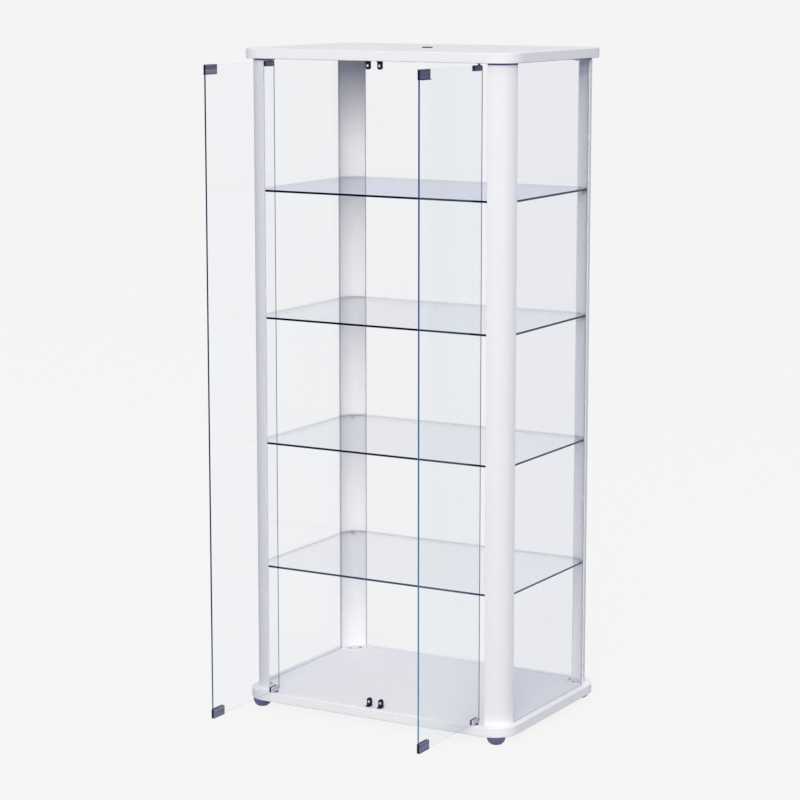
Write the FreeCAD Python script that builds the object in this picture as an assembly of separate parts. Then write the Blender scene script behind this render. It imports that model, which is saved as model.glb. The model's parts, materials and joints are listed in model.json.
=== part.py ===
import FreeCAD, Part
import math
import os

V = FreeCAD.Vector

# Boards
board_width = 740.0
board_depth = 518.0
board_thickness = 24.0
board_corner_radius = 62.0
board_edge_round = 2.0
inner_height = 1564.0

# Feet
foot_height = 20.5
foot_top_radius = 22.0
foot_flat_radius = 12.0
foot_inset_side = 40.0
foot_inset_front = 29.5
foot_recess_radius = 4.6
foot_recess_depth = 9.0
foot_screw_radius = 2.2
foot_screw_grip = 13.0
foot_screw_head_radius = 4.0
foot_screw_head_height = 2.6
foot_screw_cross_span = 4.6
foot_screw_cross_width = 1.1
foot_screw_cross_depth = 1.4

# Corner posts, formed from sheet with an end plate at the top and the bottom
post_outer_radius = 52.0
post_wall = 4.0
post_setback_side = 14.5
post_setback_front = 17.0
post_lip_round = 1.0
end_plate_thickness = 2.0
spacer_height = 4.0
spacer_recess = 0.6

# Screws that hold the posts to the boards
post_screw_radius = 2.0
post_screw_length = 18.0
post_screw_head_radius = 3.8
post_screw_head_height = 2.4
post_screw_head_round = 1.4
post_screw_cross_span = 4.2
post_screw_cross_width = 1.0
post_screw_cross_depth = 1.3
post_screw_circle = 24.0
post_screw_angle = 36.0

# Fixed glass
panel_thickness = 4.0
panel_setback = 1.5
groove_side_clearance = 0.2
groove_end_clearance = 0.6
groove_depth_bottom = 6.0
groove_depth_top = 9.0
panel_lift_room = 2.0
edge_strip_thickness = 1.0
glass_arris = 0.4

# Shelves and the pegs under their corners
shelf_thickness = 5.0
shelf_count = 4
first_shelf_gap = 310.9
shelf_pitch = 310.8
shelf_side_gap = 2.0
shelf_back_gap = 5.0
shelf_door_gap = 1.9
shelf_corner_gap = 3.0
peg_radius = 4.0
peg_length = 18.0
peg_flat = 1.0
peg_spigot_radius = 2.5
peg_spigot_depth = 2.4
peg_end_chamfer = 0.6

# Doors
door_thickness = 4.0
door_open_angle = 90.0
door_centre_gap = 3.0
door_post_gap = 7.0
door_pivot_inset = 14.2
door_plane_step = 1.2
door_bottom_gap = 4.3
door_top_gap = 6.0
liner_thickness = 0.3

# Hinge clips and pivots
hinge_clip_length = 32.0
hinge_clip_height = 11.5
hinge_clip_setback = 7.0
hinge_outer_plate = 1.6
hinge_inner_plate = 2.6
hinge_web = 1.2
clip_corner_round = 2.0
clip_edge_round = 0.5
grub_screw_radius = 2.0
grub_screw_spacing = 18.0
grub_socket_radius = 1.15
grub_socket_depth = 1.5
pin_radius = 3.0
pin_reach = 8.0
bush_barrel_radius = 5.0
bush_barrel_length = 10.0
bush_flange_radius = 6.5
bush_flange_thickness = 0.8
washer_radius = 6.0
washer_thickness = 1.8

# Strike clips at the free corners
strike_clip_length = 46.0
strike_clip_height = 22.0
strike_plate = 1.5
strike_web = 1.2
pull_lip_reach = 5.0
pull_lip_thickness = 1.5

# Magnetic catches
catch_offset = 16.0
catch_width = 11.6
catch_depth = 7.0
catch_height = 20.5
catch_end_round = 5.4
catch_foot_length = 7.5
catch_foot_thickness = 2.0
catch_foot_round = 2.5
catch_spigot_radius = 2.0
catch_spigot_length = 4.0
catch_closing_gap = 0.3
magnet_radius = 3.2
magnet_length = 4.0
magnet_stand_out = 0.3
magnet_height = 11.5
catch_screw_radius = 1.5
catch_screw_head_radius = 2.8
catch_screw_head_depth = 1.4
catch_screw_grip = 12.0
catch_screw_cross_span = 3.4
catch_screw_cross_width = 0.8
catch_screw_cross_depth = 0.8

# Cable hole in the top board and the grommet in it
cable_hole_x = 14.0
cable_hole_y = -5.0
cable_hole_radius = 9.0
grommet_sleeve_wall = 2.0
grommet_flange_radius = 13.0
grommet_flange_height = 2.2
grommet_flange_round = 0.6

# Clearances
push_fit = 0.05
running_fit = 0.05
screw_fit = 0.03

# Levels
z_bottom_under = foot_height
z_bottom_top = z_bottom_under + board_thickness
z_top_under = z_bottom_top + inner_height
z_top = z_top_under + board_thickness
z_post_top = z_top_under - spacer_height
z_middle = (z_bottom_top + z_top_under) / 2.0
z_door_bottom = z_bottom_top + door_bottom_gap
z_door_top = z_top_under - door_top_gap

# Planes
half_width = board_width / 2.0
half_depth = board_depth / 2.0
post_x = half_width - post_setback_side
post_y = half_depth - post_setback_front
post_inner_radius = post_outer_radius - post_wall
arc_x = post_x - post_outer_radius
arc_y = post_y - post_outer_radius
panel_x = post_x - panel_setback
panel_y = post_y - panel_setback
pivot_x = arc_x - door_post_gap - door_pivot_inset
pivot_y = -post_y - door_plane_step
door_width = pivot_x + door_pivot_inset - door_centre_gap / 2.0
hinge_sweep = math.hypot(door_pivot_inset, door_thickness / 2.0)
shelf_front = pivot_y + hinge_sweep + shelf_door_gap
shelf_back = panel_y - panel_thickness - shelf_back_gap
shelf_side = panel_x - panel_thickness - shelf_side_gap
shelf_corner_radius = post_inner_radius - shelf_corner_gap
foot_x = half_width - foot_inset_side
foot_y = half_depth - foot_inset_front
shelf_levels = [z_bottom_top + first_shelf_gap + n * shelf_pitch for n in range(shelf_count)]

corners = {
    "front_left": (-1, -1),
    "front_right": (1, -1),
    "rear_left": (-1, 1),
    "rear_right": (1, 1),
}
sides = {"left": -1, "right": 1}


def block(x0, x1, y0, y1, z0, z1):
    return Part.makeBox(x1 - x0, y1 - y0, z1 - z0, V(x0, y0, z0))


def rod(radius, x, y, z0, z1):
    return Part.makeCylinder(radius, z1 - z0, V(x, y, z0), V(0, 0, 1))


def cross(span, width, x, y, z0, z1):
    long_arm = block(x - span / 2.0, x + span / 2.0, y - width / 2.0, y + width / 2.0, z0, z1)
    short_arm = block(x - width / 2.0, x + width / 2.0, y - span / 2.0, y + span / 2.0, z0, z1)
    return long_arm.fuse(short_arm)


def edges_along(shape, axis, keep=None):
    found = []
    for edge in shape.Edges:
        if edge.Curve.TypeId != "Part::GeomLine":
            continue
        a = edge.Vertexes[0].Point
        b = edge.Vertexes[-1].Point
        step = b.sub(a)
        step.normalize()
        if abs(abs(step.dot(axis)) - 1.0) > 1e-6:
            continue
        if keep is None or keep(edge.CenterOfMass):
            found.append(edge)
    return found


def edges_at_level(shape, z):
    return [e for e in shape.Edges if abs(e.BoundBox.ZMin - z) < 1e-6 and abs(e.BoundBox.ZMax - z) < 1e-6]


def flip(shape):
    return shape.mirror(V(0, 0, z_middle), V(0, 0, 1))


def group(solids):
    return Part.makeCompound(solids)


def slab(x0, x1, y0, y1, z0, z1, corner):
    plate = block(x0, x1, y0, y1, z0, z1)
    plate = plate.makeFillet(corner, edges_along(plate, V(0, 0, 1)))
    return plate, edges_at_level(plate, z0) + edges_at_level(plate, z1)


# Plan positions shared by the boards and by the pieces fixed to them
def post_screw_points(sx, sy):
    points = []
    for turn in (-post_screw_angle, post_screw_angle):
        a = math.radians(45.0 + turn)
        x = sx * (arc_x + post_screw_circle * math.cos(a))
        y = sy * (arc_y + post_screw_circle * math.sin(a))
        points.append((x, y))
    return points


all_screw_points = [pt for sx, sy in corners.values() for pt in post_screw_points(sx, sy)]
strike_inner_face = pivot_y + door_thickness / 2.0 + liner_thickness + strike_plate
catch_face = strike_inner_face + catch_closing_gap + magnet_stand_out
catch_spigot_y = catch_face + catch_depth / 2.0
catch_screw_y = catch_face - catch_foot_length / 2.0


# Boards
def board(z0, z1):
    plate, rim = slab(-half_width, half_width, -half_depth, half_depth, z0, z1, board_corner_radius)
    return plate.makeFillet(board_edge_round, rim)


def groove_cutters(z0, z1):
    gap = groove_side_clearance
    end_y = arc_y - edge_strip_thickness + groove_end_clearance
    end_x = arc_x - edge_strip_thickness + groove_end_clearance
    inner = panel_x - panel_thickness
    cutters = [block(s * (inner + panel_x) / 2.0 - panel_thickness / 2.0 - gap,
                     s * (inner + panel_x) / 2.0 + panel_thickness / 2.0 + gap,
                     -end_y, end_y, z0, z1) for s in (-1, 1)]
    cutters.append(block(-end_x, end_x, panel_y - panel_thickness - gap, panel_y + gap, z0, z1))
    return cutters


def face_cutters(z_face, into):
    def hole(radius, x, y, depth):
        z_far = z_face + into * depth
        return rod(radius, x, y, min(z_face, z_far), max(z_face, z_far))

    cutters = []
    plate_stack = end_plate_thickness if into < 0 else end_plate_thickness + spacer_height
    for x, y in all_screw_points:
        cutters.append(hole(post_screw_radius + screw_fit, x, y, post_screw_length - plate_stack))
    for s in (-1, 1):
        cutters.append(hole(bush_barrel_radius + push_fit, s * pivot_x, pivot_y, bush_barrel_length))
        cutters.append(hole(catch_spigot_radius + push_fit, s * catch_offset, catch_spigot_y, catch_spigot_length))
        cutters.append(hole(catch_screw_radius + screw_fit, s * catch_offset, catch_screw_y, catch_screw_grip))
    return cutters


bottom_board = board(z_bottom_under, z_bottom_top)
bottom_cuts = groove_cutters(z_bottom_top - groove_depth_bottom, z_bottom_top)
bottom_cuts += face_cutters(z_bottom_top, -1)
for sx, sy in corners.values():
    bottom_cuts.append(rod(foot_screw_radius + screw_fit, sx * foot_x, sy * foot_y,
                           z_bottom_under, z_bottom_under + foot_screw_grip))
bottom_board = bottom_board.cut(bottom_cuts)

top_board = board(z_top_under, z_top)
sleeve_radius = cable_hole_radius + grommet_sleeve_wall
top_cuts = groove_cutters(z_top_under, z_top_under + groove_depth_top)
top_cuts += face_cutters(z_top_under, 1)
top_cuts.append(rod(sleeve_radius + push_fit, cable_hole_x, cable_hole_y, z_top_under, z_top))
top_board = top_board.cut(top_cuts)

grommet = rod(sleeve_radius, cable_hole_x, cable_hole_y, z_top_under, z_top)
flange = rod(grommet_flange_radius, cable_hole_x, cable_hole_y, z_top, z_top + grommet_flange_height)
flange = flange.makeFillet(grommet_flange_round, edges_at_level(flange, z_top + grommet_flange_height))
grommet = grommet.fuse(flange)
grommet = grommet.cut(rod(cable_hole_radius, cable_hole_x, cable_hole_y, z_top_under, z_top + grommet_flange_height))
grommet = grommet.removeSplitter()


# Posts, each a quarter shell whose concave side faces the inside of the case
def quarter(radius, sx, sy, z0, z1):
    sector = rod(radius, sx * arc_x, sy * arc_y, z0, z1)
    reach = radius + 1.0
    xs = sorted((sx * arc_x, sx * (arc_x + reach)))
    ys = sorted((sy * arc_y, sy * (arc_y + reach)))
    return sector.common(block(xs[0], xs[1], ys[0], ys[1], z0, z1))


peg_seat = math.sqrt(post_inner_radius ** 2 - peg_radius ** 2) - push_fit


def along_corner(radius, r0, r1, sx, sy, z):
    run = V(sx * math.sqrt(0.5), sy * math.sqrt(0.5), 0)
    start = V(sx * arc_x, sy * arc_y, z).add(V(run.x * r0, run.y * r0, 0))
    return Part.makeCylinder(radius, r1 - r0, start, run)


def peg_level(shelf_under):
    return shelf_under - peg_radius + peg_flat


def post(sx, sy):
    shell = quarter(post_outer_radius, sx, sy, z_bottom_top, z_post_top)
    lips = edges_along(shell, V(0, 0, 1), lambda c: math.hypot(c.x - sx * arc_x, c.y - sy * arc_y) > 1.0)
    shell = shell.makeFillet(post_lip_round, lips)
    inside = quarter(post_inner_radius, sx, sy, z_bottom_top + end_plate_thickness, z_post_top - end_plate_thickness)
    cuts = [inside]
    for x, y in post_screw_points(sx, sy):
        cuts.append(rod(post_screw_radius + screw_fit, x, y, z_bottom_top, z_post_top))
    for level in shelf_levels:
        far = post_inner_radius + peg_spigot_depth + push_fit
        cuts.append(along_corner(peg_spigot_radius + push_fit, peg_seat, far, sx, sy, peg_level(level)))
    return shell.cut(cuts)


def post_spacer(sx, sy):
    pad = quarter(post_outer_radius - spacer_recess, sx, sy, z_post_top, z_top_under)
    holes = [rod(post_screw_radius + screw_fit, x, y, z_post_top, z_top_under) for x, y in post_screw_points(sx, sy)]
    return pad.cut(holes)


def post_screw(x, y, z_seat, into):
    z_crown = z_seat + post_screw_head_height
    head = rod(post_screw_head_radius, x, y, z_seat, z_crown)
    head = head.makeFillet(post_screw_head_round, edges_at_level(head, z_crown))
    shank = rod(post_screw_radius, x, y, z_seat - post_screw_length, z_seat)
    screw = head.fuse(shank)
    screw = screw.cut(cross(post_screw_cross_span, post_screw_cross_width, x, y,
                            z_crown - post_screw_cross_depth, z_crown))
    if into > 0:
        screw = screw.mirror(V(0, 0, z_seat), V(0, 0, 1))
    return screw


post_screws = []
for x, y in all_screw_points:
    post_screws.append(post_screw(x, y, z_bottom_top + end_plate_thickness, -1))
    post_screws.append(post_screw(x, y, z_post_top - end_plate_thickness, 1))


# Fixed glass, standing in the board grooves
def arrised(pane):
    return pane.makeChamfer(glass_arris, pane.Edges)


panel_low = z_bottom_top - groove_depth_bottom
panel_high = z_top_under + groove_depth_top - panel_lift_room
panel_end_y = arc_y - edge_strip_thickness
panel_end_x = arc_x - edge_strip_thickness


def side_panel(s):
    xs = sorted((s * (panel_x - panel_thickness), s * panel_x))
    return arrised(block(xs[0], xs[1], -panel_end_y, panel_end_y, panel_low, panel_high))


back_panel = arrised(block(-panel_end_x, panel_end_x, panel_y - panel_thickness, panel_y, panel_low, panel_high))

edge_strips = []
for s in (-1, 1):
    xs = sorted((s * (panel_x - panel_thickness), s * panel_x))
    for t in (-1, 1):
        ys = sorted((t * panel_end_y, t * arc_y))
        edge_strips.append(block(xs[0], xs[1], ys[0], ys[1], z_bottom_top, z_post_top))
    xs = sorted((s * panel_end_x, s * arc_x))
    edge_strips.append(block(xs[0], xs[1], panel_y - panel_thickness, panel_y, z_bottom_top, z_post_top))


# Shelves and their pegs
def shelf(level):
    pane, rim = slab(-shelf_side, shelf_side, shelf_front, shelf_back, level, level + shelf_thickness,
                     shelf_corner_radius)
    return pane.makeChamfer(glass_arris, rim)


def peg(sx, sy, level):
    z = peg_level(level)
    body = along_corner(peg_radius, peg_seat - peg_length, peg_seat, sx, sy, z)
    tip = min(body.Edges, key=lambda e: math.hypot(e.CenterOfMass.x, e.CenterOfMass.y))
    body = body.makeChamfer(peg_end_chamfer, [tip])
    spigot = along_corner(peg_spigot_radius, peg_seat - 1.0, post_inner_radius + peg_spigot_depth, sx, sy, z)
    trim = block(-half_width, half_width, -half_depth, half_depth, level, level + peg_radius)
    return body.fuse(spigot).cut(trim).removeSplitter()


# Door pieces are laid out shut, along +X from the pivot with the outside towards -Y,
# and are then turned about the pivot to the open angle
def place(shape, s):
    if s > 0:
        shape = shape.mirror(V(0, 0, 0), V(1, 0, 0))
    shape = shape.copy()
    shape.rotate(V(0, 0, 0), V(0, 0, 1), s * door_open_angle)
    shape.translate(V(s * pivot_x, pivot_y, 0))
    return shape


door_free_end = door_width - door_pivot_inset
glass_half = door_thickness / 2.0
clip_gap = glass_half + liner_thickness

door_pane = arrised(block(-door_pivot_inset, door_free_end, -glass_half, glass_half, z_door_bottom, z_door_top))


# A clip over the bottom edge of the door glass; top clips are made upside down from it
def edge_clip(x0, x1, height, outer, inner, web):
    z_low = z_door_bottom - liner_thickness - web
    z_high = z_door_bottom + height
    body = block(x0, x1, -clip_gap - outer, clip_gap + inner, z_low, z_high)
    tops = edges_along(body, V(0, 1, 0), lambda c: c.z > z_high - 1e-6)
    body = body.makeFillet(clip_corner_round, tops)
    body = body.makeFillet(clip_edge_round, body.Edges)
    slot = block(x0, x1, -clip_gap, clip_gap, z_door_bottom - liner_thickness, z_high)
    return body.cut(slot)


def edge_liner(x0, x1, height):
    z_low = z_door_bottom - liner_thickness
    z_high = z_door_bottom + height
    body = block(x0, x1, -clip_gap, clip_gap, z_low, z_high)
    tops = edges_along(body, V(0, 1, 0), lambda c: c.z > z_high - 1e-6)
    body = body.makeFillet(clip_corner_round, tops)
    return body.cut(block(x0, x1, -glass_half, glass_half, z_door_bottom, z_high))


def to_top(shape):
    lift = (z_door_bottom + z_door_top) / 2.0
    return shape.mirror(V(0, 0, lift), V(0, 0, 1))


hinge_x0 = -door_pivot_inset + hinge_clip_setback
hinge_x1 = hinge_x0 + hinge_clip_length
hinge_x = (hinge_x0 + hinge_x1) / 2.0
grub_z = z_door_bottom + hinge_clip_height / 2.0
grub_points = [hinge_x - grub_screw_spacing / 2.0, hinge_x + grub_screw_spacing / 2.0]
web_low = z_door_bottom - liner_thickness - hinge_web

hinge_clip = edge_clip(hinge_x0, hinge_x1, hinge_clip_height, hinge_outer_plate, hinge_inner_plate, hinge_web)
hinge_cuts = [rod(pin_radius, 0, 0, web_low, z_door_bottom - liner_thickness)]
for x in grub_points:
    hinge_cuts.append(Part.makeCylinder(grub_screw_radius + screw_fit, hinge_inner_plate,
                                        V(x, clip_gap, grub_z), V(0, 1, 0)))
hinge_clip = hinge_clip.cut(hinge_cuts)
hinge_liner = edge_liner(hinge_x0, hinge_x1, hinge_clip_height)


def grub_screw(x):
    body = Part.makeCylinder(grub_screw_radius, hinge_inner_plate, V(x, clip_gap, grub_z), V(0, 1, 0))
    ring = []
    for n in range(7):
        a = math.radians(60.0 * n)
        ring.append(V(x + grub_socket_radius * math.cos(a), clip_gap + hinge_inner_plate,
                      grub_z + grub_socket_radius * math.sin(a)))
    socket = Part.Face(Part.makePolygon(ring)).extrude(V(0, -grub_socket_depth, 0))
    return body.cut(socket)


grub_screws = [grub_screw(x) for x in grub_points]
pin_bottom = rod(pin_radius, 0, 0, z_bottom_top - pin_reach, z_door_bottom - liner_thickness)
pin_top = rod(pin_radius, 0, 0, z_door_top + liner_thickness, z_top_under + pin_reach)
washer = rod(washer_radius, 0, 0, web_low - washer_thickness, web_low)
washer = washer.cut(rod(pin_radius + push_fit, 0, 0, web_low - washer_thickness, web_low))

strike_x1 = door_free_end
strike_x0 = strike_x1 - strike_clip_length
strike_clip = edge_clip(strike_x0, strike_x1, strike_clip_height, strike_plate, strike_plate, strike_web)
strike_liner = edge_liner(strike_x0, strike_x1, strike_clip_height)

pull_z1 = z_door_bottom + strike_clip_height
pull_y0 = -clip_gap - strike_plate - pull_lip_reach
pull_lip = block(strike_x0 + clip_corner_round, strike_x1 - clip_corner_round, pull_y0, -clip_gap,
                 pull_z1 - pull_lip_thickness, pull_z1)
pull_corners = edges_along(pull_lip, V(0, 0, 1), lambda c: c.y < pull_y0 + 1e-6)
pull_lip = pull_lip.makeFillet(clip_corner_round, pull_corners)
strike_clip_pull = strike_clip.fuse(pull_lip).removeSplitter()


# Pivot bushes in the boards
def bush(s):
    barrel = rod(bush_barrel_radius, s * pivot_x, pivot_y, z_bottom_top - bush_barrel_length, z_bottom_top)
    flange = rod(bush_flange_radius, s * pivot_x, pivot_y, z_bottom_top, z_bottom_top + bush_flange_thickness)
    bore = rod(pin_radius + running_fit, s * pivot_x, pivot_y,
               z_bottom_top - bush_barrel_length, z_bottom_top + bush_flange_thickness)
    return barrel.fuse(flange).cut(bore).removeSplitter()


# Magnetic catches, laid out on the bottom board and turned over for the top one
def catch_screw(s):
    x = s * catch_offset
    z_head = z_bottom_top + catch_foot_thickness
    z_neck = z_head - catch_screw_head_depth
    head = Part.makeCone(catch_screw_radius, catch_screw_head_radius, catch_screw_head_depth,
                         V(x, catch_screw_y, z_neck), V(0, 0, 1))
    shank = rod(catch_screw_radius, x, catch_screw_y, z_bottom_top - catch_screw_grip, z_neck)
    return head.fuse(shank)


def slotted(screw, s):
    z_head = z_bottom_top + catch_foot_thickness
    return screw.cut(cross(catch_screw_cross_span, catch_screw_cross_width, s * catch_offset, catch_screw_y,
                           z_head - catch_screw_cross_depth, z_head))


def catch_body(s):
    x = s * catch_offset
    half = catch_width / 2.0
    upright = block(x - half, x + half, catch_face, catch_face + catch_depth, z_bottom_top, z_bottom_top + catch_height)
    crown = edges_along(upright, V(0, 1, 0), lambda c: c.z > z_bottom_top + catch_height - 1e-6)
    upright = upright.makeFillet(catch_end_round, crown)
    foot = block(x - half, x + half, catch_face - catch_foot_length, catch_face,
                 z_bottom_top, z_bottom_top + catch_foot_thickness)
    toes = edges_along(foot, V(0, 0, 1), lambda c: c.y < catch_face - catch_foot_length + 1e-6)
    foot = foot.makeFillet(catch_foot_round, toes)
    spigot = rod(catch_spigot_radius, x, catch_spigot_y, z_bottom_top - catch_spigot_length, z_bottom_top)
    body = upright.fuse([foot, spigot]).removeSplitter()
    pocket = Part.makeCylinder(magnet_radius + push_fit, magnet_length - magnet_stand_out,
                               V(x, catch_face, z_bottom_top + magnet_height), V(0, 1, 0))
    return body.cut([pocket, catch_screw(s)])


def magnet(s):
    return Part.makeCylinder(magnet_radius, magnet_length,
                             V(s * catch_offset, catch_face - magnet_stand_out, z_bottom_top + magnet_height),
                             V(0, 1, 0))


# Feet
def foot(sx, sy):
    wide = foot_top_radius - foot_flat_radius
    bend = V(foot_flat_radius + wide * math.sin(math.radians(45)), 0,
             foot_height * (1.0 - math.cos(math.radians(45))))
    low = V(foot_flat_radius, 0, 0)
    high = V(foot_top_radius, 0, foot_height)
    outline = [
        Part.LineSegment(V(0, 0, 0), low).toShape(),
        Part.Arc(low, bend, high).toShape(),
        Part.LineSegment(high, V(0, 0, foot_height)).toShape(),
        Part.LineSegment(V(0, 0, foot_height), V(0, 0, 0)).toShape(),
    ]
    bowl = Part.Face(Part.Wire(outline)).revolve(V(0, 0, 0), V(0, 0, 1), 360)
    bowl = bowl.cut([rod(foot_recess_radius, 0, 0, 0, foot_recess_depth),
                     rod(foot_screw_radius + screw_fit, 0, 0, foot_recess_depth, foot_height)])
    bowl.translate(V(sx * foot_x, sy * foot_y, 0))
    return bowl


def foot_screw(sx, sy):
    z_seat = foot_recess_depth
    head = rod(foot_screw_head_radius, sx * foot_x, sy * foot_y, z_seat - foot_screw_head_height, z_seat)
    shank = rod(foot_screw_radius, sx * foot_x, sy * foot_y, z_seat, z_bottom_under + foot_screw_grip)
    z_low = z_seat - foot_screw_head_height
    return head.fuse(shank).cut(cross(foot_screw_cross_span, foot_screw_cross_width, sx * foot_x, sy * foot_y,
                                      z_low, z_low + foot_screw_cross_depth))


# Pieces by name
pieces = {
    "bottom_board": bottom_board,
    "top_board": top_board,
    "cable_grommet": grommet,
    "post_spacers": group([post_spacer(sx, sy) for sx, sy in corners.values()]),
    "post_screws": group(post_screws),
    "back_glass": back_panel,
    "glass_edge_strips": group(edge_strips),
    "catch_magnets": group([turn(magnet(s)) for s in (-1, 1) for turn in (lambda m: m, flip)]),
    "catch_screws": group([turn(slotted(catch_screw(s), s)) for s in (-1, 1) for turn in (lambda m: m, flip)]),
    "foot_screws": group([foot_screw(sx, sy) for sx, sy in corners.values()]),
}

for name, (sx, sy) in corners.items():
    pieces["post_" + name] = post(sx, sy)
    pieces["foot_" + name] = foot(sx, sy)

for n, level in enumerate(shelf_levels, start=1):
    pieces["shelf_%d" % n] = shelf(level)
    pieces["shelf_pegs_%d" % n] = group([peg(sx, sy, level) for sx, sy in corners.values()])

for side, s in sides.items():
    pieces["side_glass_" + side] = side_panel(s)
    pieces["bush_bottom_" + side] = bush(s)
    pieces["bush_top_" + side] = flip(bush(s))
    pieces["catch_bottom_" + side] = catch_body(s)
    pieces["catch_top_" + side] = flip(catch_body(s))
    pieces["door_glass_" + side] = place(door_pane, s)
    pieces["hinge_clip_bottom_" + side] = place(hinge_clip, s)
    pieces["hinge_clip_top_" + side] = place(to_top(hinge_clip), s)
    pieces["hinge_liners_" + side] = group([place(hinge_liner, s), place(to_top(hinge_liner), s)])
    pieces["grub_screws_" + side] = group([place(turn(g), s) for g in grub_screws for turn in (lambda m: m, to_top)])
    pieces["pivot_pin_bottom_" + side] = place(pin_bottom, s)
    pieces["pivot_pin_top_" + side] = place(pin_top, s)
    pieces["thrust_washer_" + side] = place(washer, s)
    pieces["strike_clip_bottom_" + side] = place(strike_clip, s)
    pieces["strike_clip_top_" + side] = place(to_top(strike_clip_pull), s)
    pieces["strike_liners_" + side] = group([place(strike_liner, s), place(to_top(strike_liner), s)])

os.makedirs("parts", exist_ok=True)
for name, shape in pieces.items():
    shape.exportStep("parts/%s.step" % name)
    print(name, len(shape.Solids), shape.isValid())
print(len(pieces), "pieces")
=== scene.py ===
import json
import math
import bpy
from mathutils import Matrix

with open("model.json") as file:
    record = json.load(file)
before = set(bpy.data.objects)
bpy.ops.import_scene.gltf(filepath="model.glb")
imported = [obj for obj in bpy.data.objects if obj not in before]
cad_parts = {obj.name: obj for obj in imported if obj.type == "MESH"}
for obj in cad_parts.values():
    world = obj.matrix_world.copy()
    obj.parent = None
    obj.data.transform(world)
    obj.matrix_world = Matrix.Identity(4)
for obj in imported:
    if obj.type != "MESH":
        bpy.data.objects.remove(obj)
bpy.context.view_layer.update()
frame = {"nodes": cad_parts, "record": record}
nodes = frame["nodes"]
scene = bpy.context.scene
bpy.ops.object.select_all(action="DESELECT")
print("frame loaded:", len(nodes), "CAD pieces")


# small helpers for node trees
def addNode(tree, kind, sockets={}, **settings):
    node = tree.nodes.new(kind)
    for label, value in settings.items():
        setattr(node, label, value)
    for label, value in sockets.items():
        node.inputs[label].default_value = value
    return node


def feed(tree, socket, value):
    # numbers and colours are set on the socket, outputs of other nodes are linked to it
    if isinstance(value, (int, float)):
        socket.default_value = value
    elif isinstance(value, tuple):
        socket.default_value = value + (1.0,)
    else:
        tree.links.new(value, socket)


def mathNode(tree, operation, *values, clamp=False):
    node = addNode(tree, "ShaderNodeMath", operation=operation, use_clamp=clamp)
    for socket, value in zip(node.inputs, values):
        feed(tree, socket, value)
    return node.outputs[0]


def mixColour(tree, factor, first, second):
    node = addNode(tree, "ShaderNodeMix", data_type="RGBA")
    for index, value in ((0, factor), (6, first), (7, second)):  # the colour sockets' places
        feed(tree, node.inputs[index], value)
    return node.outputs[2]


def mixValue(tree, factor, first, second):
    node = addNode(tree, "ShaderNodeMix", data_type="FLOAT")
    for index, value in ((0, factor), (2, first), (3, second)):  # the number sockets' places
        feed(tree, node.inputs[index], value)
    return node.outputs[0]


def dotWith(tree, vector, axis):
    node = addNode(tree, "ShaderNodeVectorMath", operation="DOT_PRODUCT")
    tree.links.new(vector, node.inputs[0])
    if isinstance(axis, tuple):
        node.inputs[1].default_value = axis
    else:
        tree.links.new(axis, node.inputs[1])
    return node.outputs["Value"]


def heightOf(tree, vector):
    node = addNode(tree, "ShaderNodeSeparateXYZ")
    tree.links.new(vector, node.inputs[0])
    return node.outputs["Z"]


def newMaterial(name):
    mat = bpy.data.materials.new(name)
    mat.use_nodes = True
    tree = mat.node_tree
    tree.nodes.clear()
    out = addNode(tree, "ShaderNodeOutputMaterial")
    return mat, tree, out.inputs["Surface"]


def newSkin(tree, surface):
    skin = addNode(tree, "ShaderNodeBsdfPrincipled")
    tree.links.new(skin.outputs["BSDF"], surface)
    return skin.inputs


def newGroup(name, inputs, outputs):
    tree = bpy.data.node_groups.new(name, "ShaderNodeTree")
    for label, value in inputs.items():
        kind = "NodeSocketVector" if isinstance(value, tuple) else "NodeSocketFloat"
        socket = tree.interface.new_socket(name=label, in_out="INPUT", socket_type=kind)
        socket.default_value = value
    for label in outputs:
        tree.interface.new_socket(name=label, in_out="OUTPUT", socket_type="NodeSocketFloat")
    entry = addNode(tree, "NodeGroupInput")
    leave = addNode(tree, "NodeGroupOutput")
    return tree, entry.outputs, leave.inputs


def useGroup(tree, group, spec):
    node = addNode(tree, "ShaderNodeGroup", node_tree=group)
    for socket in node.inputs:
        socket.default_value = spec[socket.name]
    return node.outputs


def addBump(tree, skin, height, strength, reach):
    bump = addNode(tree, "ShaderNodeBump", {"Strength": strength, "Distance": reach})
    tree.links.new(height, bump.inputs["Height"])
    tree.links.new(bump.outputs["Normal"], skin["Normal"])


# surface effects that several finishes share
rimLook = dict(broadFacing=0.95, levelFacing=0.6)


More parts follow.
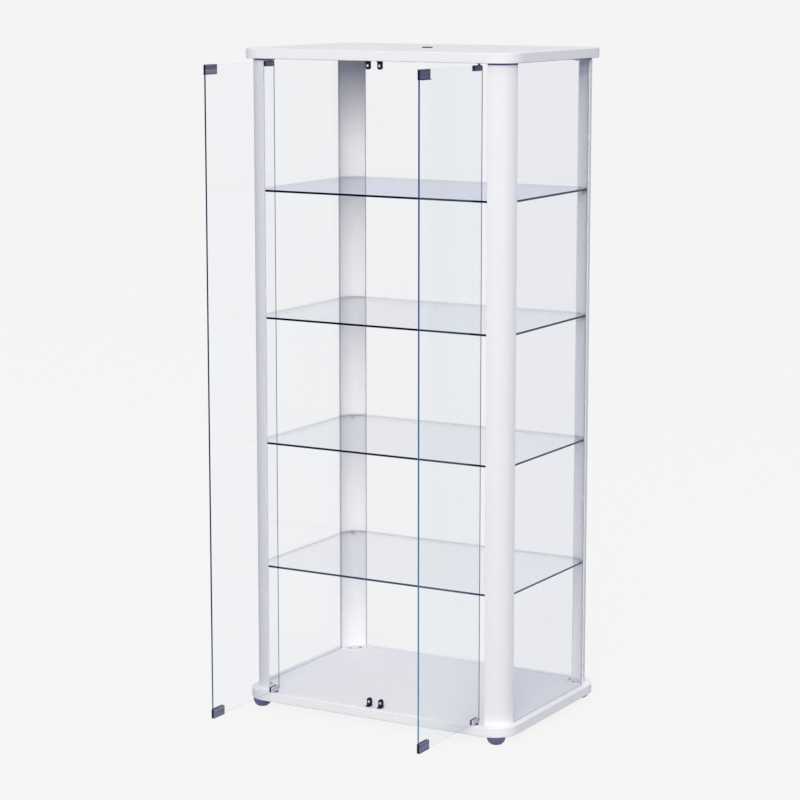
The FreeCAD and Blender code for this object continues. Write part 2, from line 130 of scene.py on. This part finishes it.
def makeGlassRim(look):
    # rim: 1 on a pane's edge faces and arrises, 0 on its two broad faces
    # level: 1 on faces that lie level, such as a door's top and bottom edges
    # height: 0 at the low mark, 1 at the high mark; it fades the rim colour with height, a painted reflection
    # grip: 1 below and above the two clip marks
    # half: 1 on the half of the thickness past the middle mark
    tree, given, result = newGroup(
        "glassRim",
        dict(broadAxis=(0.0, 0.0, 1.0), lowMark=0.0, highMark=1.6, lowGrip=-1.0, highGrip=9.0, middleMark=-9.0),
        ("rim", "level", "height", "grip", "half"))
    coords = addNode(tree, "ShaderNodeTexCoord").outputs
    facing = mathNode(tree, "ABSOLUTE", dotWith(tree, coords["Normal"], given["broadAxis"]))
    tree.links.new(mathNode(tree, "LESS_THAN", facing, look["broadFacing"]), result["rim"])
    upward = mathNode(tree, "ABSOLUTE", heightOf(tree, coords["Normal"]))
    tree.links.new(mathNode(tree, "GREATER_THAN", upward, look["levelFacing"]), result["level"])
    height = heightOf(tree, coords["Object"])
    fade = addNode(tree, "ShaderNodeMapRange")
    for label, value in (("Value", height), ("From Min", given["lowMark"]), ("From Max", given["highMark"])):
        tree.links.new(value, fade.inputs[label])
    tree.links.new(fade.outputs["Result"], result["height"])
    under = mathNode(tree, "LESS_THAN", height, given["lowGrip"])
    over = mathNode(tree, "GREATER_THAN", height, given["highGrip"])
    tree.links.new(mathNode(tree, "MAXIMUM", under, over), result["grip"])
    depth = dotWith(tree, coords["Object"], given["broadAxis"])
    tree.links.new(mathNode(tree, "GREATER_THAN", depth, given["middleMark"]), result["half"])
    return tree


mottleLook = dict(cloudDetail=3.0, grainDetail=2.0, noiseRoughness=0.55)


def makeMottle(look):
    # slow cloudy variation and a fine grain, both centred on 0.5
    tree, given, result = newGroup("mottle", dict(cloudSize=4.0, grainSize=400.0), ("cloud", "grain"))
    coords = addNode(tree, "ShaderNodeTexCoord").outputs
    for label in ("cloud", "grain"):
        noise = addNode(tree, "ShaderNodeTexNoise",
                        {"Detail": look[label + "Detail"], "Roughness": look["noiseRoughness"]})
        tree.links.new(coords["Object"], noise.inputs["Vector"])
        tree.links.new(given[label + "Size"], noise.inputs["Scale"])
        tree.links.new(noise.outputs["Fac"], result[label])
    return tree


brushLook = dict(detail=2.0)


def makeBrushLines(look):
    # long thin scratches along the brushing direction and broad soft bands across it
    tree, given, result = newGroup(
        "brushLines",
        dict(lineStretch=(2000.0, 40.0, 2000.0), bandStretch=(8.0, 8.0, 90.0)),
        ("lines", "bands"))
    coords = addNode(tree, "ShaderNodeTexCoord").outputs
    for stretch, label in (("lineStretch", "lines"), ("bandStretch", "bands")):
        scaled = addNode(tree, "ShaderNodeVectorMath", operation="MULTIPLY")
        tree.links.new(coords["Object"], scaled.inputs[0])
        tree.links.new(given[stretch], scaled.inputs[1])
        noise = addNode(tree, "ShaderNodeTexNoise", {"Scale": 1.0, "Detail": look["detail"]})
        tree.links.new(scaled.outputs["Vector"], noise.inputs["Vector"])
        tree.links.new(noise.outputs["Fac"], result[label])
    return tree


glassRim = makeGlassRim(rimLook)
mottle = makeMottle(mottleLook)
brushLines = makeBrushLines(brushLook)
print("surface effects ready")


# painted and moulded pieces
def paintFinish(name, spec):
    mat, tree, surface = newMaterial(name)
    skin = newSkin(tree, surface)
    marks = useGroup(tree, mottle, spec)
    colour = mixColour(tree, marks["cloud"], spec["colourLow"], spec["colourHigh"])
    tree.links.new(colour, skin["Base Color"])
    rough = mixValue(tree, marks["cloud"], spec["roughLow"], spec["roughHigh"])
    tree.links.new(rough, skin["Roughness"])
    addBump(tree, skin, marks["grain"], spec["bump"], spec["bumpReach"])
    skin["Specular IOR Level"].default_value = spec["gloss"]
    return mat


boardPaint = dict(colourLow=(0.845, 0.838, 0.858), colourHigh=(0.885, 0.878, 0.895),
                  roughLow=0.44, roughHigh=0.54, cloudSize=3.0, grainSize=900.0,
                  bump=0.05, bumpReach=0.0002, gloss=0.5)
# the bottom board is the same lacquer as the top board, painted lighter: painted light
bottomBoardPaintedLight = dict(boardPaint, colourLow=(0.905, 0.900, 0.915), colourHigh=(0.935, 0.930, 0.945))
postPaint = dict(boardPaint, colourLow=(0.835, 0.828, 0.852), colourHigh=(0.875, 0.868, 0.888),
                 roughLow=0.52, roughHigh=0.64, cloudSize=5.0, grainSize=1500.0, bump=0.08)
blackPlastic = dict(boardPaint, colourLow=(0.008, 0.009, 0.016), colourHigh=(0.016, 0.017, 0.028),
                    roughLow=0.45, roughHigh=0.6, cloudSize=60.0, grainSize=2500.0, bump=0.15)
catchPlastic = dict(blackPlastic, colourLow=(0.004, 0.004, 0.016), colourHigh=(0.009, 0.009, 0.030), gloss=0.2)
# the dark navy of the spacer rings at the post tops is partly the spacer's own colour and partly painted shade,
# standing in for the shadow under the top board's overhang
spacerAndPaintedShade = dict(blackPlastic, colourLow=(0.080, 0.083, 0.230), colourHigh=(0.110, 0.115, 0.290))
footPlastic = dict(blackPlastic, colourLow=(0.100, 0.106, 0.235), colourHigh=(0.137, 0.143, 0.295),
                   roughLow=0.38, roughHigh=0.5, cloudSize=40.0, grainSize=2200.0, bump=0.12)
linerRubber = dict(blackPlastic, colourLow=(0.012, 0.012, 0.016), colourHigh=(0.03, 0.03, 0.036),
                   roughLow=0.7, roughHigh=0.85, cloudSize=80.0, bump=0.2)


# glass: clear faces that turn reflective at a slant, and edges that are dark where they face outwards
def glassFinish(name, spec):
    mat, tree, surface = newMaterial(name)
    skin = newSkin(tree, surface)
    edge = useGroup(tree, glassRim, spec)
    marks = useGroup(tree, mottle, spec)
    inside = addNode(tree, "ShaderNodeNewGeometry").outputs["Backfacing"]
    # the rim colour fades with height between a low and a high colour: the dark blue-green edge is the glass's
    # own tint, and its change with height is a painted reflection
    rimColour = mixColour(tree, edge["height"], spec["rimLowTintAndReflection"], spec["rimHighTintAndReflection"])
    rimColour = mixColour(tree, edge["grip"], rimColour, spec["gripColour"])
    rimColour = mixColour(tree, inside, rimColour, spec["rimInside"])
    faceColour = mixColour(tree, marks["cloud"], spec["faceLow"], spec["faceHigh"])
    tree.links.new(mixColour(tree, edge["rim"], faceColour, rimColour), skin["Base Color"])
    slant = addNode(tree, "ShaderNodeLayerWeight", {"Blend": spec["slantBlend"]}).outputs["Facing"]
    slant = mathNode(tree, "POWER", slant, spec["slantPower"])
    faceAlpha = mathNode(tree, "MULTIPLY_ADD", slant, spec["glare"], spec["haze"], clamp=True)
    rimAlpha = mixValue(tree, edge["half"], spec["rimDeep"], spec["rimFar"])
    rimAlpha = mixValue(tree, inside, spec["rimNear"], rimAlpha)
    rimAlpha = mixValue(tree, edge["level"], rimAlpha, spec["rimLevel"])
    tree.links.new(mixValue(tree, edge["rim"], faceAlpha, rimAlpha), skin["Alpha"])
    rough = mixValue(tree, marks["cloud"], spec["roughLow"], spec["roughHigh"])
    tree.links.new(rough, skin["Roughness"])
    skin["Metallic"].default_value = spec["mirror"]
    skin["Specular Tint"].default_value = spec["slantTint"] + (1.0,)
    return mat


panelPane = dict(broadAxis=(1.0, 0.0, 0.0), faceLow=(0.50, 0.60, 0.77), faceHigh=(0.56, 0.66, 0.83),
                 rimLowTintAndReflection=(0.45, 0.47, 0.53), rimHighTintAndReflection=(0.45, 0.47, 0.53), rimInside=(0.45, 0.47, 0.53),
                 gripColour=(0.0, 0.0, 0.0), lowMark=0.0, highMark=1.6, lowGrip=-1.0, highGrip=9.0,
                 middleMark=-9.0, haze=0.03, glare=0.65, rimNear=0.2, rimFar=0.1, rimDeep=0.1, rimLevel=0.1,
                 mirror=1.0, slantTint=(0.95, 0.96, 0.98), slantBlend=0.5, slantPower=5.0,
                 roughLow=0.03, roughHigh=0.07, cloudSize=6.0, grainSize=300.0)
# the right side and back panes are the same glass as the left side pane, given darker and bluer face tints:
# painted reflection
rightPaneReflectionTint = dict(panelPane, faceLow=(0.32, 0.41, 0.60), faceHigh=(0.38, 0.47, 0.66))
backPaneReflectionTint = dict(panelPane, broadAxis=(0.0, 1.0, 0.0), faceLow=(0.50, 0.50, 0.80), faceHigh=(0.56, 0.56, 0.88))
clearStrip = dict(panelPane, broadAxis=(0.0, 0.0, 1.0), mirror=0.0, rimNear=0.25, rimFar=0.15,
                  roughLow=0.3, roughHigh=0.4)
# shelf edges fade from teal on the low shelves to near black on the high ones: the glass's own dark edge tint
# with a painted reflection
shelfPane = dict(panelPane, broadAxis=(0.0, 0.0, 1.0),
                 faceLow=(0.875, 0.882, 0.91), faceHigh=(0.915, 0.922, 0.95),
                 rimLowTintAndReflection=(0.060, 0.095, 0.150), rimHighTintAndReflection=(0.0025, 0.0055, 0.020), rimInside=(0.25, 0.25, 0.36),
                 lowMark=0.28, highMark=0.75, haze=0.06, glare=0.94,
                 rimNear=1.0, rimFar=0.35, rimDeep=0.35, rimLevel=1.0, slantTint=(0.935, 0.945, 0.97))
# the top shelf is the same glass as the other shelves, given a darker, bluer face and reflection tint: a
# painted darker reflection
topShelfDarkReflection = dict(shelfPane, faceLow=(0.80, 0.81, 0.88), faceHigh=(0.84, 0.85, 0.92),
                    slantTint=(0.84, 0.86, 0.94))
# the two doors are the same glass: their face tints, cyan on the right door and blue on the left, are partly
# the glass's own tint and partly painted reflection, and their edges fade from blue-green low to navy high, a
# painted reflection
rightDoorTintAndReflection = dict(panelPane, faceLow=(0.32, 0.59, 0.69), faceHigh=(0.38, 0.65, 0.75),
                     rimLowTintAndReflection=(0.12, 0.26, 0.38), rimHighTintAndReflection=(0.016, 0.042, 0.200), rimInside=(0.012, 0.014, 0.160),
                     gripColour=(0.002, 0.003, 0.022), lowMark=0.1, highMark=1.25,
                     lowGrip=0.0705, highGrip=1.5805, middleMark=0.2823,
                     rimNear=1.0, rimFar=1.0, rimDeep=0.06, rimLevel=0.12)
leftDoorTintAndReflection = dict(rightDoorTintAndReflection, faceLow=(0.25, 0.42, 0.78), faceHigh=(0.31, 0.48, 0.84),
                    rimLowTintAndReflection=(0.09, 0.21, 0.32), rimHighTintAndReflection=(0.008, 0.011, 0.060), lowMark=0.05, highMark=0.30,
                    middleMark=-0.2823, haze=0.015, glare=0.5)


# brushed and turned metal
def metalFinish(name, spec):
    mat, tree, surface = newMaterial(name)
    skin = newSkin(tree, surface)
    marks = useGroup(tree, brushLines, spec)
    band = addNode(tree, "ShaderNodeMapRange", {"From Min": spec["bandFrom"], "From Max": spec["bandTo"]})
    tree.links.new(marks["bands"], band.inputs["Value"])
    offset = mathNode(tree, "SUBTRACT", marks["lines"], 0.5)  # the noise is centred on 0.5
    streak = mathNode(tree, "MULTIPLY_ADD", offset, spec["lineDepth"], band.outputs["Result"], clamp=True)
    tree.links.new(mixColour(tree, streak, spec["colourLow"], spec["colourHigh"]), skin["Base Color"])
    rough = mixValue(tree, marks["lines"], spec["roughLow"], spec["roughHigh"])
    tree.links.new(rough, skin["Roughness"])
    addBump(tree, skin, marks["lines"], spec["bump"], spec["bumpReach"])
    skin["Metallic"].default_value = 1.0
    return mat


# the dark navy of the clips is partly the metal's own dark tone and partly painted reflection, standing in for
# the dark surroundings they mirror
clipMetalDarkReflection = dict(colourLow=(0.035, 0.035, 0.085), colourHigh=(0.105, 0.105, 0.205),
                 roughLow=0.24, roughHigh=0.38,
                 lineStretch=(60.0, 60.0, 3000.0), lineDepth=0.5, bandStretch=(6.0, 6.0, 85.0),
                 bandFrom=0.36, bandTo=0.64, bump=0.15, bumpReach=0.0001)
# the left clips, the lower right strike clip and the lower hinge clips are the same metal as the other clips,
# lighter copies that paint in the brighter things each one reflects: painted reflection
leftClipPaintedReflection = dict(clipMetalDarkReflection, colourLow=(0.125, 0.120, 0.190), colourHigh=(0.275, 0.270, 0.365))
rightLowClipPaintedReflection = dict(clipMetalDarkReflection, colourLow=(0.075, 0.076, 0.150), colourHigh=(0.205, 0.208, 0.345))
lowHingePaintedReflection = dict(clipMetalDarkReflection, colourLow=(0.60, 0.60, 0.70), colourHigh=(0.90, 0.90, 0.97))
pinMetal = dict(clipMetalDarkReflection, colourLow=(0.08, 0.08, 0.10), colourHigh=(0.16, 0.16, 0.19),
                roughLow=0.25, roughHigh=0.4,
                lineStretch=(200.0, 200.0, 4000.0), bandStretch=(40.0, 40.0, 200.0), bump=0.1)
screwMetal = dict(clipMetalDarkReflection, colourLow=(0.40, 0.40, 0.43), colourHigh=(0.55, 0.55, 0.58),
                  roughLow=0.25, roughHigh=0.4,
                  lineStretch=(1500.0, 1500.0, 1500.0), lineDepth=0.6, bandStretch=(90.0, 90.0, 90.0), bump=0.1)
pegMetal = dict(screwMetal, colourLow=(0.42, 0.43, 0.46), colourHigh=(0.55, 0.56, 0.59),
                roughLow=0.3, roughHigh=0.45)
magnetMetal = dict(screwMetal, colourLow=(0.58, 0.53, 0.54), colourHigh=(0.70, 0.65, 0.66),
                   roughLow=0.18, roughHigh=0.3, lineStretch=(900.0, 900.0, 900.0), bump=0.08)

# one finish for each slot, and a finish of their own for the pieces that differ from their slot: these are
# lighter, darker or tinted copies that paint in light, shade and reflection
slotFinishes = {
    "white_board": paintFinish("whiteLacquer", boardPaint),
    "white_post": paintFinish("whitePowder", postPaint),
    "dark_plastic": paintFinish("blackMoulding", blackPlastic),
    "catch_plastic": paintFinish("catchMoulding", catchPlastic),
    "bearing_plastic": paintFinish("bearingMoulding", blackPlastic),
    "foot_plastic": paintFinish("footMoulding", footPlastic),
    "liner_rubber": paintFinish("linerRubber", linerRubber),
    "clear_strip": glassFinish("clearStrip", clearStrip),
    "panel_glass": glassFinish("leftSideGlass", panelPane),
    "shelf_glass": glassFinish("shelfGlass", shelfPane),
    "door_glass": glassFinish("rightDoorGlassTintAndReflection", rightDoorTintAndReflection),
    "clip_metal": metalFinish("clipMetalDarkReflection", clipMetalDarkReflection),
    "pin_metal": metalFinish("pinMetal", pinMetal),
    "screw_metal": metalFinish("screwMetal", screwMetal),
    "peg_metal": metalFinish("pegMetal", pegMetal),
    "magnet_metal": metalFinish("magnetMetal", magnetMetal),
}
lowHinge = metalFinish("lowHingePaintedReflection", lowHingePaintedReflection)
leftClip = metalFinish("leftClipPaintedReflection", leftClipPaintedReflection)
ownFinishes = {
    "back_glass": glassFinish("backGlassReflectionTint", backPaneReflectionTint),
    "side_glass_right": glassFinish("rightSideGlassReflectionTint", rightPaneReflectionTint),
    "door_glass_left": glassFinish("leftDoorGlassTintAndReflection", leftDoorTintAndReflection),
    "shelf_4": glassFinish("topShelfGlassDarkReflection", topShelfDarkReflection),
    "bottom_board": paintFinish("bottomBoardLacquerPaintedLight", bottomBoardPaintedLight),
    "post_spacers": paintFinish("spacerMouldingPaintedShade", spacerAndPaintedShade),
    "strike_clip_top_left": leftClip,
    "strike_clip_bottom_left": leftClip,
    "strike_clip_bottom_right": metalFinish("rightLowClipPaintedReflection", rightLowClipPaintedReflection),
    "hinge_clip_bottom_left": lowHinge,
    "hinge_clip_bottom_right": lowHinge,
}
for part in frame["record"]["subparts"]:
    finish = ownFinishes.get(part["node"], slotFinishes[part["material_slot"]])
    for slot in nodes[part["node"]].material_slots:
        slot.material = finish
print("finishes on", len(nodes), "pieces")


# one pale floor that keeps the shadow, and a pale room all round
def seenByEye(tree):
    paths = addNode(tree, "ShaderNodeLightPath").outputs
    seen = mathNode(tree, "MAXIMUM", paths["Is Camera Ray"], paths["Is Glossy Ray"])
    return mathNode(tree, "MAXIMUM", seen, paths["Is Transmission Ray"])


floorLook = dict(halfWidth=160.0, paleLevel=0.935, shadowShare=0.07,
                 seenColour=(0.80, 0.80, 0.80), bounceColour=(0.095, 0.101, 0.158))


def buildFloor(look):
    bpy.ops.mesh.primitive_plane_add(size=2.0 * look["halfWidth"], location=(0.0, 0.0, 0.0))
    floor = bpy.context.active_object
    floor.name = "studioFloor"
    mat, tree, surface = newMaterial("studioFloor")
    seen = seenByEye(tree)
    matt = addNode(tree, "ShaderNodeBsdfDiffuse")
    tree.links.new(mixColour(tree, seen, look["bounceColour"], look["seenColour"]), matt.inputs["Color"])
    glow = addNode(tree, "ShaderNodeEmission", {"Color": (1.0, 1.0, 1.0, 1.0), "Strength": look["paleLevel"]})
    blend = addNode(tree, "ShaderNodeMixShader")
    tree.links.new(mathNode(tree, "MULTIPLY", seen, 1.0 - look["shadowShare"]), blend.inputs[0])
    tree.links.new(matt.outputs[0], blend.inputs[1])
    tree.links.new(glow.outputs[0], blend.inputs[2])
    tree.links.new(blend.outputs[0], surface)
    floor.data.materials.append(mat)


# the fill comes more from behind and the right than from the front
roomLook = dict(paleLevel=0.908, fillLevel=0.672, fillTint=(0.975, 0.992, 1.085), fillLean=(0.36, 0.32, 0.0))


def buildRoom(look):
    world = bpy.data.worlds.new("studioWorld")
    world.use_nodes = True
    scene.world = world
    tree = world.node_tree
    back = tree.nodes["Background"].inputs
    seen = seenByEye(tree)
    tree.links.new(mixColour(tree, seen, look["fillTint"], (1.0, 1.0, 1.0)), back["Color"])
    towards = addNode(tree, "ShaderNodeTexCoord").outputs["Generated"]
    lean = mathNode(tree, "ADD", dotWith(tree, towards, look["fillLean"]), 1.0)
    fill = mathNode(tree, "MULTIPLY", lean, look["fillLevel"])
    tree.links.new(mixValue(tree, seen, fill, look["paleLevel"]), back["Strength"])


keySoftbox = dict(place=(3.12, -8.58, 3.87), target=(0.0, 0.0, 0.9), size=3.4, watts=620.0,
                  colour=(1.0, 0.982, 0.918))
leftSoftbox = dict(place=(-8.96, -2.40, 3.38), target=(0.0, 0.0, 0.9), size=4.0, watts=73.0,
                   colour=(1.0, 1.0, 1.0))


def addLamp(name, spec):
    data = bpy.data.lights.new(name, "AREA")
    data.shape = "SQUARE"
    data.size = spec["size"]
    data.energy = spec["watts"]
    data.color = spec["colour"]
    lamp = bpy.data.objects.new(name, data)
    scene.collection.objects.link(lamp)
    lamp.location = spec["place"]
    along, across, up = [t - p for t, p in zip(spec["target"], spec["place"])]
    tilt = math.atan2(math.hypot(along, across), -up)
    lamp.rotation_euler = (tilt, 0.0, math.atan2(across, along) - math.pi / 2.0)
    lamp.visible_glossy = False  # the glass mirrors the pale room, not the softboxes


buildFloor(floorLook)
buildRoom(roomLook)
addLamp("keySoftbox", keySoftbox)
addLamp("leftSoftbox", leftSoftbox)
scene.view_settings.view_transform = "Standard"
scene.cycles.transparent_max_bounces = 40  # a line of sight crosses many panes
print("stage and lamps ready")

# the camera stands at the photograph's own angle
shot = dict(place=(3.0644, -5.4824, 1.8343), turn=29.7147, tiltDown=9.6275,
            focalPixels=2576.99, pixels=800.0, sensorWidth=36.0)
camData = bpy.data.cameras.new("photoCamera")
camData.sensor_width = shot["sensorWidth"]
camData.lens = shot["focalPixels"] * shot["sensorWidth"] / shot["pixels"]
camera = bpy.data.objects.new("photoCamera", camData)
scene.collection.objects.link(camera)
camera.location = shot["place"]
camera.rotation_euler = (math.radians(90.0 - shot["tiltDown"]), 0.0, math.radians(shot["turn"]))
scene.camera = camera

print("scene ready")
